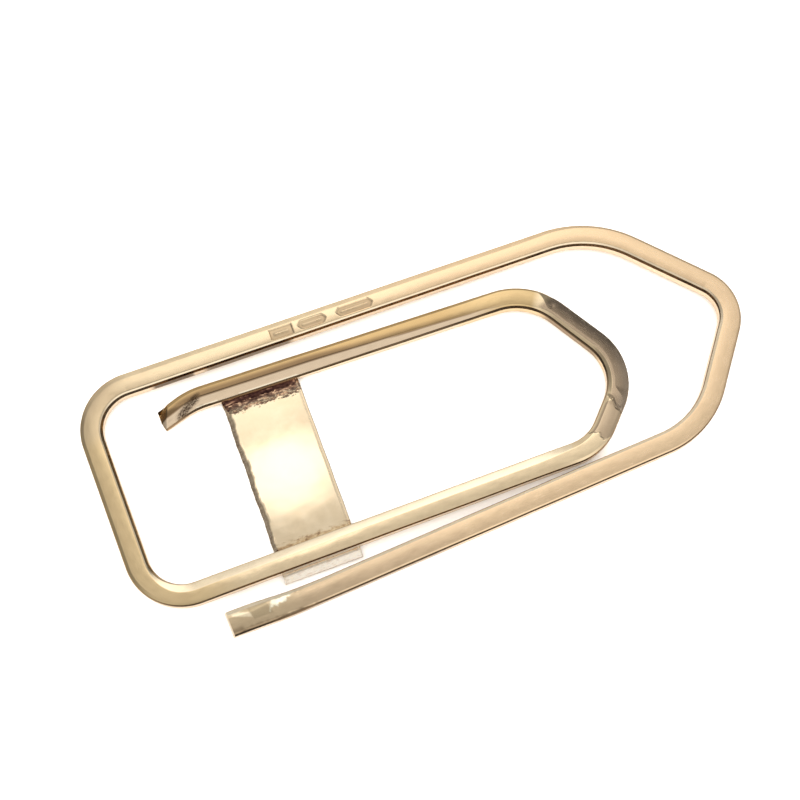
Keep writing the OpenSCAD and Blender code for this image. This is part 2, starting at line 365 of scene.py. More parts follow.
def flats_depth(s, u):
    cuts = [-fall * abs(s - sc) - across * (u - uc) for sc, uc, fall, across in FLATS]
    return min(max(max(cuts), 0.0), FLATS_DEEPEST)


def end_depth(s, u):
    """The slanted flat on the tongue's free end."""
    return 0.8 * max(0.0, s - (S_END - 0.68 + 0.75 * u))


def crease_line(u):
    """Station of the crease across the tongue's point."""
    return TT0 - 0.15 + 0.62 * (u / 0.9) + 0.10 * math.sin(u * 6.0)


def lip_line(u):
    """Station of the jagged lip where the polished lower leg begins."""
    return TL0 + 2.75 - 0.25 * u + 0.22 * math.sin(u * 5.0 + 0.6) + 0.08 * math.sin(u * 13.0)


DENT_S, DENT_U = TU0 + 0.75, -0.1         # a small dent on the tongue's upper corner


def crease_depth(s, u):
    """The crease and the lip across the tongue's point, and the dent beside them."""
    d = s - crease_line(u)
    groove = 0.09 * max(0.0, 1 - abs(d) / 0.16) - 0.03 * max(0.0, 1 - abs(d - 0.32) / 0.2)
    lip = 0.05 * float(smooth((s - lip_line(u)) / 0.12 + 0.5)) * band(s, TL0, TT0, 1.2)
    dent = 0.05 * math.exp(-((s - DENT_S) ** 2 + (u - DENT_U) ** 2) / 0.03)
    return groove * band(u, -1.2, 0.75, 0.2) + lip + dent


def shape_bar(verts, flow):
    """Lower the top of the bar where it is punched, beaten, creased or cut."""
    out = verts.copy()
    top = flow[:, 3] > BAR_H * 0.55
    for i in np.nonzero(top)[0]:
        s, u = flow[i, 0], flow[i, 2]
        if A1 < s < HU0 and MARKED_X[0] < verts[i, 0] < MARKED_X[1]:
            out[i, 2] -= punch(verts[i, 0], verts[i, 1])
        elif s < FLATS_END:
            out[i, 2] -= flats_depth(s, u)
        elif TL0 - 1 < s < TU1:
            out[i, 2] -= crease_depth(s, u)
        elif s > S_END - 2:
            out[i, 2] -= end_depth(s, u)
    # the tongue's free end is cut on the slant
    for i in np.nonzero(flow[:, 0] > S_END - 1.6)[0]:
        out[i, 0] = max(out[i, 0], T_END_X + 0.05 + 0.05 * flow[i, 2])
    return out


# ---------------------------------------------------------------- tone of the gold along the bar, with painted highlights, reflections and shade
FREE_TIP = (0.62, 0.485, 0.31)
FREE_BEATEN = (0.64, 0.50, 0.32)
FREE_WORN = (0.72, 0.545, 0.355)
FREE_WARMER = (0.80, 0.60, 0.39)
FLAT_OLIVE = (0.42, 0.335, 0.205)
# Painted highlight colours for the free end's rims and its ragged patch
FLAT_RIM = (0.98, 0.84, 0.60)
PAINTED_GLINT_CREAM = (1.0, 0.93, 0.72)
PEACH = (0.94, 0.695, 0.435)
ROSE = (0.91, 0.675, 0.43)
PALE = (0.87, 0.66, 0.375)
HONEY = (0.58, 0.395, 0.185)
PALE_HONEY = (0.68, 0.49, 0.25)
CREAM = (0.97, 0.77, 0.50)
BEIGE = (0.68, 0.535, 0.38)
PATINA = (0.36, 0.285, 0.215)
BRONZE = (0.50, 0.38, 0.26)
UMBER = (0.20, 0.125, 0.07)
# Painted reflection of the bright floor, mixed into the sides of the bar
PAINTED_FLOOR_REFLECTION = (1.0, 0.86, 0.70)
HEEL_CORNER_IN, HEEL_CORNER_OUT = (0.74, 0.575, 0.37), (0.74, 0.575, 0.36)
# Painted highlights: on the inner slope of the loop and on the inner edge of the tongue's upper leg
LIT_SLOPE = (1.0, 0.86, 0.64)
LIT_EDGE = (1.0, 0.90, 0.70)
# Colour of the painted dark reflection and shade on the sides
PAINTED_SIDE_SHADE = (0.13, 0.085, 0.05)
MARK_DIRT = (0.42, 0.27, 0.14)

# Station, colour and roughness
TONE_KEYS = [
    (0, FREE_TIP, 0.16), (3.5, FREE_BEATEN, 0.16), (8, FREE_WORN, 0.16), (14, FREE_WARMER, 0.20),
    (26, ROSE, 0.22), (C0, ROSE, 0.22), (B0, ROSE, 0.24), (A0, PEACH, 0.24), (A1 + 8, PEACH, 0.22),
    (HU0 - 14, CREAM, 0.20), (HU0 - 1, CREAM, 0.20), (HU0 + 2, HEEL_CORNER_IN, 0.20),
    (HU1 - 1, HEEL_CORNER_OUT, 0.20), (HU1 + 1, PALE, 0.20), (HL0, PALE, 0.18),
    (HL1, PALE, 0.14), (HL1 + 5, CREAM, 0.12), (TL0, CREAM, 0.12), (S_END, CREAM, 0.13)]

# The tongue's upper leg: how dark the shade is on its inner half, the offset where the shade
# starts, and the offset of the ridge between the two slopes
SHADE_KEYS = [(TU1 - 2, 0.15), (TU1 + 6, 0.45), (TU1 + 18, 0.85), (TB0, 0.80)]
SHADE_FROM_KEYS = [(TU1 + 2, -0.10), (TU1 + 12, -0.42), (TU1 + 19, -0.74)]
RIDGE_KEYS = [(TU1 + 2, 0.48), (TU1 + 8, 0.34), (TU1 + 12, 0.22), (TU1 + 19, 0.08)]
# How dark the painted shade on the narrow edge facets may get: less on the heel
DARKEST_KEYS = [(HU0, 0.86), (HU1, 0.40), (HL0, 0.40), (HL1, 0.86)]
# Two stretches of the upper leg's inner side with a painted dark reflection of the tongue beside
# them
REFLECTED_TONGUE_SPANS = ((HU0 - 6.07, HU0 - 2.27), (HU0 - 15.37, HU0 - 7.27))


def mix(a, b, k):
    return tuple(x + (y - x) * k for x, y in zip(a, b))


def tongue_tone(col, rough, s, u, zone):
    """The tongue's colours: patina on the point, painted shade on the bronze facet, and painted
    light and shade on the upper leg's two slopes.
    """
    on_top = zone in (INNER_SLOPE, TOP, OUTER_SLOPE)
    # Painted shade on the tilted facet past the lip
    if on_top:
        facet = band(s - lip_line(u), 0.0, 3.5, 0.10) * band(s, TL0, TT0 + 1.2, 0.8)
        col = mix(col, BRONZE, 0.85 * facet * band(u, -1.5, 0.72, 0.2))
    patina = float(smooth((s - crease_line(u)) / 0.12 + 0.5))
    patina *= float(smooth((TU0 + 1.9 - s + 0.5 * u) / 0.6))
    patina *= float(smooth((0.56 - u) / 0.10 + 0.5))
    col = mix(col, mix(PATINA, BRONZE, float(smooth((u + 0.9) / 1.2))), patina)
    leg = float(smooth((s - TU0 - 2.0) / 0.8))
    # The upper leg's two slopes: painted light and shade, a painted dark line on the ridge between
    # them and a painted highlight along the inner edge
    if on_top and leg > 0:
        shade = keyed(SHADE_KEYS, s) * float(smooth((u - keyed(SHADE_FROM_KEYS, s)) / 0.5))
        honey = mix(PALE_HONEY, HONEY, float(smooth((s - TU1 - 1) / 5)))
        honey = mix(honey, UMBER, shade)
        ridge = keyed(RIDGE_KEYS, s)
        painted_slopes = mix(BEIGE, honey, float(smooth((ridge - u) / 0.12 + 0.5)))
        painted_slopes = mix(painted_slopes, UMBER, 0.55 * band(u, ridge - 0.08, ridge + 0.02, 0.06))
        if u > 0.80:
            painted_slopes = mix(painted_slopes, LIT_EDGE, 0.9)
        painted_slopes = mix(PALE_HONEY, painted_slopes, float(smooth((s - TU1 + 1) / 4)))
        col = mix(col, painted_slopes, leg * (1 - patina))
    # Painted shade on the inner side by the point
    if zone == INNER_SIDE:
        col = mix(col, UMBER, 0.8 * band(s, TT1 - 1.5, TU0 + 1, 2.0))
    return col, rough + 0.12 * patina


def painted_side_shade_at(s, v, zone):
    """Painted shade, 0 to 1: a dark reflection of the tongue painted on two stretches of the upper
    leg's inner side, and painted shade in a high and a low band on the free leg's outer side.
    """
    if zone == INNER_SIDE and A1 < s < HU0:
        along = max(band(s, *REFLECTED_TONGUE_SPANS[0], 0.35), 0.9 * band(s, *REFLECTED_TONGUE_SPANS[1], 0.8))
        return along * band(v, 0.12, 1.3, 0.15)
    if zone == OUTER_SIDE and s < C0:
        high_and_low = max(band(v, 0.62, 1.3, 0.2), 0.6 * band(v, 0.1, 0.36, 0.12))
        return 0.9 * band(s, 5.0, 20.0, 4.0) * high_and_low
    return 0.0


def stain_at(s, u, zone):
    """Speckled stain, 0 to 1, on the tongue's free end."""
    if s > TB0 - 2 and zone in (INNER_SLOPE, TOP):
        along = s - (TB0 + 0.4)
        return band(along, 0.0, 2.6, 0.9) * band(u - 0.3 * along, -0.32, 0.30, 0.35)
    return 0.0


def free_end_tone(col, s, u):
    """Flats of the outer free end: painted highlights on the lit rims and on a ragged patch, an
    olive flat, brown streaks.
    """
    jag = (0.10 * math.sin(s * 3.3 + 0.6) + 0.09 * math.sin(s * 8.3 + 1)
           + 0.07 * math.sin(s * 14 + 4 * u))
    olive = band(s + 0.25 * u, 2.0, 3.7, 0.06) * band(u, -0.12, 0.98, 0.10)
    floor_u = 0.14 + 0.32 * max(0.0, s - 4.1) + jag
    # Where the painted highlight of the ragged patch lies
    bright = band(s - 0.5 * u, 3.45, 6.8, 0.25) * float(smooth((u - floor_u) / 0.12))
    bright *= 1 - 0.5 * float(smooth(s - 5.2))
    rim = band(s, 4.2, 6.8, 0.4) * band(u + 0.5 * jag, 0.82, 1.2, 0.04)
    brown = band(s, 0.6, 8.2, 1.8) * float(smooth((-0.58 - 0.05 * (s - 5) - u + 0.3 * jag) / 0.22))
    lit_flat = band(s, 0.3, 1.9, 0.3) * band(u + 0.4 * (s - 0.8), 0.62, 1.04, 0.12)
    lit_edge = band(u, 1.02, 1.5, 0.05) * band(s, -1, 4.0, 0.3)
    dark_corner = band(s, -1.0, 0.9, 0.4) * band(u, -1.5, -0.25, 0.25)
    col = mix(col, FLAT_RIM, 0.85 * max(lit_flat, lit_edge))
    col = mix(col, FLAT_OLIVE, 0.6 * olive)
    col = mix(mix(col, PAINTED_GLINT_CREAM, bright), UMBER, 0.4 * rim)
    col = mix(col, UMBER, 0.45 * dark_corner)
    return mix(col, UMBER, 0.60 * brown)


def tone_at(s, u, v, zone):
    """Colour, roughness and stain of the metal at a point of the section; the colour also holds
    painted highlights, reflections and shade.
    """
    col = tuple(keyed([(k, c[i]) for k, c, _ in TONE_KEYS], s) for i in range(3))
    rough = keyed([(k, r) for k, _, r in TONE_KEYS], s)
    if s < FLATS_END and zone in (INNER_SLOPE, TOP, OUTER_SLOPE):
        col = free_end_tone(col, s, u)
    if s > TL0 - 2:
        col, rough = tongue_tone(col, rough, s, u, zone)
    # The sides get a painted reflection of the bright floor, and in places a painted dark
    # reflection and shade over it
    if zone in (INNER_SIDE, OUTER_SIDE) and not (TT1 - 3 < s < TU1 + 4 and zone == INNER_SIDE):
        col = mix(mix(col, PAINTED_FLOOR_REFLECTION, 0.75), PAINTED_SIDE_SHADE, painted_side_shade_at(s, v, zone))
    # Painted shade: the narrow edge facets are darkened towards umber
    if zone in (INNER_EDGE, OUTER_EDGE):
        keys = INNER_EDGE_KEYS if zone == INNER_EDGE else OUTER_EDGE_KEYS
        col = mix(col, UMBER, min(0.86 * keyed(keys, s), keyed(DARKEST_KEYS, s)))
        rough = 0.10
    # Painted highlight on the inner slope, up to the tongue
    if zone == INNER_SLOPE and s < TL0:
        col = mix(col, LIT_SLOPE, 0.7)
    # Painted shade: the top from the outer point to the heel is darker towards its inner edge
    if zone == TOP and B1 < s < HU0:
        col = mix(col, UMBER, 0.16 * float(smooth((u - 0.02) / 0.5)))
    return col, rough, stain_at(s, u, zone)


# ---------------------------------------------------------------- bar meshes
END_SPREAD, END_LEAN = 0.26, 0.14         # beating has widened the free end and bent it inwards


def build_bar(name, s0, s1):
    """A length of the bar, with its tone and wear stored at each point."""
    ss = stations(s0, s1)
    verts, flow = [], []
    for s in ss:
        c, t = path.at(s)
        sec = ring(width_at(s), BAR_H, *section_at(s),
                   keyed(INNER_EDGE_KEYS, s), keyed(OUTER_EDGE_KEYS, s))
        p = math.atan(pitch(s))
        tan3 = np.array([t[0] * math.cos(p), t[1] * math.cos(p), math.sin(p)])
        side = np.array([-t[1], t[0], 0.0])
        up = np.cross(tan3, side)
        w = rad(twist_at(s))
        spread = END_SPREAD * float(smooth((9.5 - s) / 8.0))
        lean = END_LEAN * float(smooth((6.0 - s) / 6.0))
        u = sec[:, 0] + lean + spread * (0.5 + sec[:, 0] / BAR_W)
        v = sec[:, 1] - BAR_H / 2
        across = u * math.cos(w) + v * math.sin(w)
        height = -u * math.sin(w) + v * math.cos(w)
        origin = np.array([c[0], c[1], base_z(s) + BAR_H / 2])
        verts.append(origin + np.outer(across, side) + np.outer(height, up))
        around = np.concatenate([[0], np.cumsum(np.linalg.norm(np.diff(sec, axis=0), axis=1))])
        flow.append(np.column_stack([np.full(RING_N, s), around, u, sec[:, 1], ZONES]))
    verts, flow = np.concatenate(verts), np.concatenate(flow)
    rows = len(ss)
    faces = []
    for i in range(rows - 1):
        a, b = i * RING_N, (i + 1) * RING_N
        for k in range(RING_N):
            m = (k + 1) % RING_N
            faces.append((a + k, a + m, b + m, b + k))
    faces.append(tuple(range(RING_N - 1, -1, -1)))
    faces.append(tuple((rows - 1) * RING_N + k for k in range(RING_N)))
    shaped = shape_bar(verts, flow)
    sunk = verts[:, 2] - shaped[:, 2]
    verts = shaped + (DX, DY, 0)
    tones = []
    for (s, _, u, v, zone), depth in zip(flow, sunk):
        col, rough, stain = tone_at(s, u, v, int(zone))
        if A1 < s < HU0:                                  # dirt sits in the punch marks
            col = mix(col, MARK_DIRT, min(4.5 * depth, 0.45))
            rough += 1.2 * depth
        tones.append((col, rough, stain))
    obj = make_mesh(name, verts * MM, faces, flow[:, :3])
    add_vectors(obj, "tone", [c for c, _, _ in tones])
    add_vectors(obj, "wear", [(r, st, 0.0) for _, r, st in tones])
    return obj


def add_vectors(obj, name, values):
    attr = obj.data.attributes.new(name, "FLOAT_VECTOR", "POINT")
    attr.data.foreach_set("vector", np.asarray(values, np.float32).ravel())


SHARP_ANGLE = 38


def make_mesh(name, verts, faces, flow):
    mesh = bpy.data.meshes.new(name)
    mesh.from_pydata([tuple(v) for v in verts], [], faces)
    mesh.update()
    mesh.polygons.foreach_set("use_smooth", [True] * len(mesh.polygons))
    mesh.set_sharp_from_angle(angle=rad(SHARP_ANGLE))
    obj = bpy.data.objects.new(name, mesh)
    bpy.context.scene.collection.objects.link(obj)
    add_vectors(obj, "flow", flow)
    return obj


# The heel between these two stations twists as the loop lifts
S_HEEL_A = HU1 + 0.4
S_HEEL_B = HL0 - 0.2

free_bar = build_bar("free_leg_bar", 0.0, C0)
outer_bar = build_bar("outer_loop_bar", C0, S_HEEL_A)
heel_bar = build_bar("heel_twist_bar", S_HEEL_A, S_HEEL_B)
tongue_bar = build_bar("tongue_bar", S_HEEL_B, S_END)


# ---------------------------------------------------------------- plate
EDGE_W, EDGE_Z = 0.40, 0.22       # the broken left edge slopes down over this width and depth
TAB = 0.85                        # the plate stands out past the lower leg by this much
PLATE_BOW, PLATE_TILT = 0.075, 0.062
LEFT_INSET, RIGHT_INSET = 0.07, 0.02      # the edges lie this far inside the CAD's
RIM_STEPS = (0.0, 0.06, 0.15)     # columns of points along the right edge, from that edge
RIM_WIDTH = 0.22
# Darkness against the distance from the right edge: two thin dark lines
RIM_KEYS = [(0.0, 1.9), (0.055, 1.0), (0.06, 0.0), (0.15, 0.0), (0.22, 0.5)]


def build_plate():
    """The bowed sheet. Its wear attribute holds the edge's darkness and the distances from the
    seams of the upper and of the lower leg."""
    lo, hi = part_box("bridge_plate")
    x0, y0, x1, y1 = lo[0] / MM, lo[1] / MM, hi[0] / MM, hi[1] / MM
    nx, ny = 60, 150

    def right_edge(y):
        return x1 - RIGHT_INSET - 0.012 * math.sin(y * 1.7)

    top = []
    for j in range(ny + 1):
        for i in range(nx + 1):
            fy = j / ny
            y = y0 + (y1 - y0) * fy
            ragged = (0.030 * math.sin(y * 1.3) + 0.014 * math.sin(y * 4.7 + 1)
                      + 0.007 * math.sin(y * 12.1))
            left = x0 + LEFT_INSET + ragged
            right = right_edge(y)
            x = left + (right - left - RIM_WIDTH) * min(i / (nx - 3), 1.0) ** 1.25
            if i > nx - 3:
                x = right - RIM_STEPS[nx - i]
            z = PLATE_T - 0.04 + PLATE_BOW * math.sin(math.pi * fy) + 0.006 * math.sin(fy * 9 + 1)
            z += PLATE_TILT * (fy - 0.5)
            broken = EDGE_Z * float(smooth((y - y0 - TAB) / 0.5))
            z -= broken * max(0.0, 1 - (x - left) / (EDGE_W + ragged * 1.5))
            z -= 0.04 * max(0.0, 1 - (right - x) / 0.07)
            z += 0.024 * max(0.0, 1 - (y - y0) / TAB)
            top.append((x, y, z))
    bottom = [(x, y, 0.02 + 0.03 * max(0.0, 1 - i % (nx + 1) / 3))
              for i, (x, y, _) in enumerate(top)]
    verts = top + bottom
    n, w = len(top), nx + 1
    faces = []
    for j in range(ny):
        for i in range(nx):
            a = j * w + i
            faces.append((a, a + 1, a + w + 1, a + w))
            faces.append((n + a, n + a + w, n + a + w + 1, n + a + 1))
    rim = (list(range(w)) + [j * w + nx for j in range(1, ny + 1)]
           + [ny * w + i for i in range(nx - 1, -1, -1)] + [j * w for j in range(ny - 1, 0, -1)])
    for k in range(len(rim)):
        a, b = rim[k], rim[(k + 1) % len(rim)]
        faces.append((a, n + a, n + b, b))
    obj = make_mesh("bridge_plate_sheet", np.array(verts) * MM, faces, verts)
    upper_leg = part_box("upper_solder_seam")[1][1] / MM
    lower_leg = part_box("lower_solder_seam")[0][1] / MM
    wear = []
    for x, y, _ in verts:
        edge = float(smooth(1.3 - (x - x0 - LEFT_INSET) / EDGE_W))
        if x > x1 - RIM_WIDTH - 0.04 and y > y0 + TAB:
            edge = keyed(RIM_KEYS, right_edge(y) - x)
        if y < y0 + TAB:
            edge *= 0.2
        wear.append((edge, upper_leg - y, y - lower_leg))
    add_vectors(obj, "wear", wear)
    return obj


plate = build_plate()


def build_solder(name, node_name, sign, height, reach):
    """A lumpy fillet along a leg, from the plate up its side."""
    lo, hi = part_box(node_name)
    x0, x1 = lo[0] / MM, hi[0] / MM
    y_leg = (hi[1] if sign < 0 else lo[1]) / MM
    n, m = 160, 12
    verts = []
    for i in range(n + 1):
        x = x0 + (x1 - x0) * i / n
        lump = (1 + 0.10 * math.sin(x * 3.1 + sign) + 0.10 * math.sin(x * 7.3 + 1.3)
                + 0.06 * math.sin(x * 15.1))
        end = float(smooth(min(i, n - i) / 6))
        h = height * lump * (0.35 + 0.65 * end)
        r = reach * (1 + 0.12 * math.sin(x * 4.7) + 0.10 * math.sin(x * 12.7)) * (0.4 + 0.6 * end)
        for k in range(m + 1):
            a = k / m * math.pi / 2
            y = y_leg + sign * (r * (1 - math.sin(a)) - 0.12)
            z = PLATE_T - 0.03 + h * (1 - math.cos(a))
            verts.append((x, y, z))
        verts.append((x, y_leg - sign * 0.12, PLATE_T - 0.08))
    w = m + 2
    faces = []
    for i in range(n):
        for k in range(w):
            a, b = i * w + k, i * w + (k + 1) % w
            faces.append((a, b, b + w, a + w) if sign > 0 else (a, a + w, b + w, b))
    faces.append(tuple(range(w)) if sign < 0 else tuple(range(w - 1, -1, -1)))
    faces.append(tuple(n * w + k for k in (range(w - 1, -1, -1) if sign < 0 else range(w))))
    return make_mesh(name, np.array(verts) * MM, faces, verts)


upper_seam = build_solder("upper_solder_fillet", "upper_solder_seam", -1, 0.45, 0.80)
lower_seam = build_solder("lower_solder_fillet", "lower_solder_seam", 1, 0.20, 0.35)


# ---------------------------------------------------------------- materials
def new_material(name):
    mat = bpy.data.materials.new(name)
    mat.use_nodes = True
    nt = mat.node_tree
    nt.nodes.clear()
    out = nt.nodes.new("ShaderNodeOutputMaterial")
    bsdf = nt.nodes.new("ShaderNodeBsdfPrincipled")
    nt.links.new(bsdf.outputs["BSDF"], out.inputs["Surface"])
    return mat, nt, bsdf


WHITE, BLACK = (1, 1, 1), (0, 0, 0)


def grey(level):
    return level, level, level


def node(nt, kind, **props):
    n = nt.nodes.new(kind)
    for k, v in props.items():
        setattr(n, k, v)
    return n


def attribute(nt, name):
    return node(nt, "ShaderNodeAttribute", attribute_name=name).outputs["Vector"]


def split(nt, vec):
    n = node(nt, "ShaderNodeSeparateXYZ")
    nt.links.new(vec, n.inputs[0])
    return n.outputs


def flow_vector(nt, scale):
    """The flow attribute, scaled for a texture: the distance along the bar, round its section
    and across it, or x, y and z on the other pieces."""
    mp = node(nt, "ShaderNodeMapping")
    mp.inputs["Scale"].default_value = scale
    nt.links.new(attribute(nt, "flow"), mp.inputs["Vector"])
    return mp.outputs["Vector"]


def noise(nt, scale, detail=3.0, rough=0.5):
    n = node(nt, "ShaderNodeTexNoise")
    n.inputs["Scale"].default_value = 1.0
    n.inputs["Detail"].default_value = detail
    n.inputs["Roughness"].default_value = rough
    nt.links.new(flow_vector(nt, scale), n.inputs["Vector"])
    return n.outputs["Fac"]


def ramp(nt, fac, stops):
    """stops: (position, colour)."""
    r = node(nt, "ShaderNodeValToRGB")
    els = r.color_ramp.elements
    while len(els) > 1:
        els.remove(els[-1])
    els[0].position, els[0].color = stops[0][0], (*stops[0][1], 1)
    for pos, col in stops[1:]:
        els.new(pos).color = (*col, 1)
    nt.links.new(fac, r.inputs["Fac"])
    return r.outputs["Color"]


def remap(nt, fac, lo, hi, out_lo, out_hi):
    m = node(nt, "ShaderNodeMapRange")
    for k, v in zip(("From Min", "From Max", "To Min", "To Max"), (lo, hi, out_lo, out_hi)):
        m.inputs[k].default_value = v
    nt.links.new(fac, m.inputs["Value"])
    return m.outputs["Result"]


def calc(nt, op, a, b):
    m = node(nt, "ShaderNodeMath", operation=op)
    for i, x in enumerate((a, b)):
        if isinstance(x, (int, float)):
            m.inputs[i].default_value = x
        else:
            nt.links.new(x, m.inputs[i])
    return m.outputs[0]


def blend_colour(nt, fac, a, b, mode="MIX"):
    m = node(nt, "ShaderNodeMix", data_type="RGBA", blend_type=mode)
    for socket, x in zip((m.inputs[0], m.inputs[6], m.inputs[7]), (fac, a, b)):
        if isinstance(x, (int, float)):
            socket.default_value = x
        elif isinstance(x, tuple):
            socket.default_value = (*x, 1)
        else:
            nt.links.new(x, socket)
    return m.outputs[2]


def bump_chain(nt, bsdf, layers):
    """layers: (height socket, distance in metres)."""
    last = None
    for height, distance in layers:
        b = node(nt, "ShaderNodeBump")
        b.inputs["Strength"].default_value = 1.0
        b.inputs["Distance"].default_value = distance
        nt.links.new(height, b.inputs["Height"])
        if last is not None:
            nt.links.new(last, b.inputs["Normal"])
        last = b.outputs["Normal"]
    nt.links.new(last, bsdf.inputs["Normal"])


def worn_gold():
    """The bar: tone, roughness and stain from its attributes, with fine scratches along it."""
    mat, nt, bsdf = new_material("worn_gold")
    bsdf.inputs["Metallic"].default_value = 1.0
    polish, stain, _ = split(nt, attribute(nt, "wear"))
    mottle = noise(nt, (0.9, 1.6, 1.6), 4.0, 0.6)
    scratch = noise(nt, (1.2, 26.0, 26.0), 3.0, 0.6)
    speck = noise(nt, (6.5, 6.5, 6.5), 3.0, 0.65)
    tint = ramp(nt, mottle, [
        (0.30, (0.94, 0.93, 0.92)), (0.55, WHITE), (0.75, (1.02, 1.025, 1.03))])
    col = blend_colour(nt, 1.0, attribute(nt, "tone"), tint, "MULTIPLY")
    broken = calc(nt, "MULTIPLY", stain, remap(nt, speck, 0.36, 0.58, 1.15, 0.35))
    col = blend_colour(nt, broken, col, (0.07, 0.042, 0.024))
    nt.links.new(col, bsdf.inputs["Base Color"])
    haze = remap(nt, mottle, 0.3, 0.7, -0.03, 0.05)
    lines = remap(nt, scratch, 0.35, 0.65, -0.02, 0.03)
    rough = calc(nt, "ADD", calc(nt, "ADD", polish, haze), lines)
    rough = calc(nt, "ADD", rough, calc(nt, "MULTIPLY", stain, 0.15))
    nt.links.new(rough, bsdf.inputs["Roughness"])
    swell = noise(nt, (0.35, 0.5, 0.5), 2.0, 0.5)
    bump_chain(nt, bsdf, [(swell, 0.000014), (scratch, 0.0000003), (speck, 0.0000003),
                          (broken, 0.00003)])
    return mat


def sheet_gold():
    """The plate: mirror polish, a broken brown left edge, and heat stain by the solder."""
    mat, nt, bsdf = new_material("sheet_gold")
    bsdf.inputs["Metallic"].default_value = 1.0
    edge, below_upper, above_lower = split(nt, attribute(nt, "wear"))
    mottle = noise(nt, (0.6, 0.6, 0.6), 4.0, 0.6)
    grit = noise(nt, (1.7, 3.6, 3.0), 4.0, 0.60)
    col = ramp(nt, mottle, [(0.3, (0.94, 0.75, 0.50)), (0.7, (0.97, 0.80, 0.56))])
    ragged = calc(nt, "ADD", below_upper, remap(nt, grit, 0.3, 0.7, -0.30, 0.30))
    heat = ramp(nt, remap(nt, ragged, 0.0, 2.0, 0.0, 1.0), [
        (0.10, WHITE), (0.36, grey(0.9)), (0.44, grey(0.35)),
        (0.50, WHITE), (0.56, grey(0.85)), (0.62, BLACK)])
    ragged_low = calc(nt, "ADD", above_lower, remap(nt, grit, 0.3, 0.7, -0.22, 0.22))
    heat_low = ramp(nt, remap(nt, ragged_low, -1.0, 1.0, 0.0, 1.0), [
        (0.36, BLACK), (0.46, grey(0.9)), (0.72, grey(0.7)), (0.84, BLACK)])
    stained = blend_colour(nt, heat, col, ramp(nt, grit, [
        (0.38, (0.05, 0.022, 0.018)), (0.52, (0.16, 0.075, 0.05)), (0.64, (0.75, 0.48, 0.30))]))
    stained = blend_colour(nt, heat_low, stained, ramp(nt, grit, [
        (0.36, (0.30, 0.16, 0.07)), (0.48, (0.72, 0.47, 0.24)), (0.60, (0.97, 0.76, 0.46))]))
    on_tab = remap(nt, above_lower, -1.9, -2.0, 0.0, 1.0)
    stained = blend_colour(nt, on_tab, stained, ramp(nt, grit, [
        (0.36, (0.92, 0.78, 0.63)), (0.50, (1.0, 0.92, 0.80)), (0.64, (1.0, 0.89, 0.73))]))
    rough_edge = ramp(nt, grit, [(0.35, (0.58, 0.43, 0.30)), (0.65, (0.98, 0.80, 0.58))])
    stained = blend_colour(nt, edge, stained, rough_edge)
    dark_rim = remap(nt, edge, 0.9, 1.8, 0.0, 1.0)
    stained = blend_colour(nt, dark_rim, stained, (0.07, 0.05, 0.035))
    nt.links.new(stained, bsdf.inputs["Base Color"])
    worn = calc(nt, "ADD", calc(nt, "MULTIPLY", edge, 0.22), calc(nt, "MULTIPLY", on_tab, 0.12))
    rough = calc(nt, "ADD", remap(nt, mottle, 0.3, 0.7, 0.05, 0.09), worn)
    nt.links.new(rough, bsdf.inputs["Roughness"])
    swell = noise(nt, (0.25, 0.30, 0.3), 2.0, 0.5)
    bump_chain(nt, bsdf, [(swell, 0.00001), (calc(nt, "MULTIPLY", heat, grit), 0.00004),
                          (calc(nt, "MULTIPLY", edge, grit), 0.00004)])
    return mat


def stained_solder():
    """Dark, heat-stained solder with brighter blotches."""
    mat, nt, bsdf = new_material("stained_solder")
    bsdf.inputs["Metallic"].default_value = 1.0
    blotch = noise(nt, (0.9, 2.4, 2.4), 3.0, 0.55)
    col = ramp(nt, blotch, [(0.40, (0.045, 0.018, 0.016)), (0.54, (0.12, 0.055, 0.04)),
                            (0.62, (0.38, 0.21, 0.13)), (0.72, (0.85, 0.58, 0.38))])
    nt.links.new(col, bsdf.inputs["Base Color"])
    nt.links.new(remap(nt, blotch, 0.35, 0.65, 0.36, 0.2), bsdf.inputs["Roughness"])
    bump_chain(nt, bsdf, [(noise(nt, (1.5, 2.6, 2.6), 3.0, 0.55), 0.00006)])
    return mat


gold, sheet, solder = worn_gold(), sheet_gold(), stained_solder()
for obj, mat in ((free_bar, gold), (outer_bar, gold), (heel_bar, gold), (tongue_bar, gold),
                 (plate, sheet), (upper_seam, solder), (lower_seam, solder)):
    obj.data.materials.append(mat)

# ---------------------------------------------------------------- bodies
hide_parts("outer_free_end", "outer_lower_leg")
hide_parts("outer_point", "outer_upper_leg")
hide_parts("heel_bar", "heel_tongue_corner")
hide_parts("tongue_lower_leg", "tongue_point", "tongue_upper_leg", "tongue_free_end")
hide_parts("bridge_plate")
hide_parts("upper_solder_seam")
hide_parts("lower_solder_seam")


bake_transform(free_bar)
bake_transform(heel_bar)
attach(outer_bar, "outer_loop")
for obj in (tongue_bar, plate, upper_seam, lower_seam):
    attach(obj, "tongue")

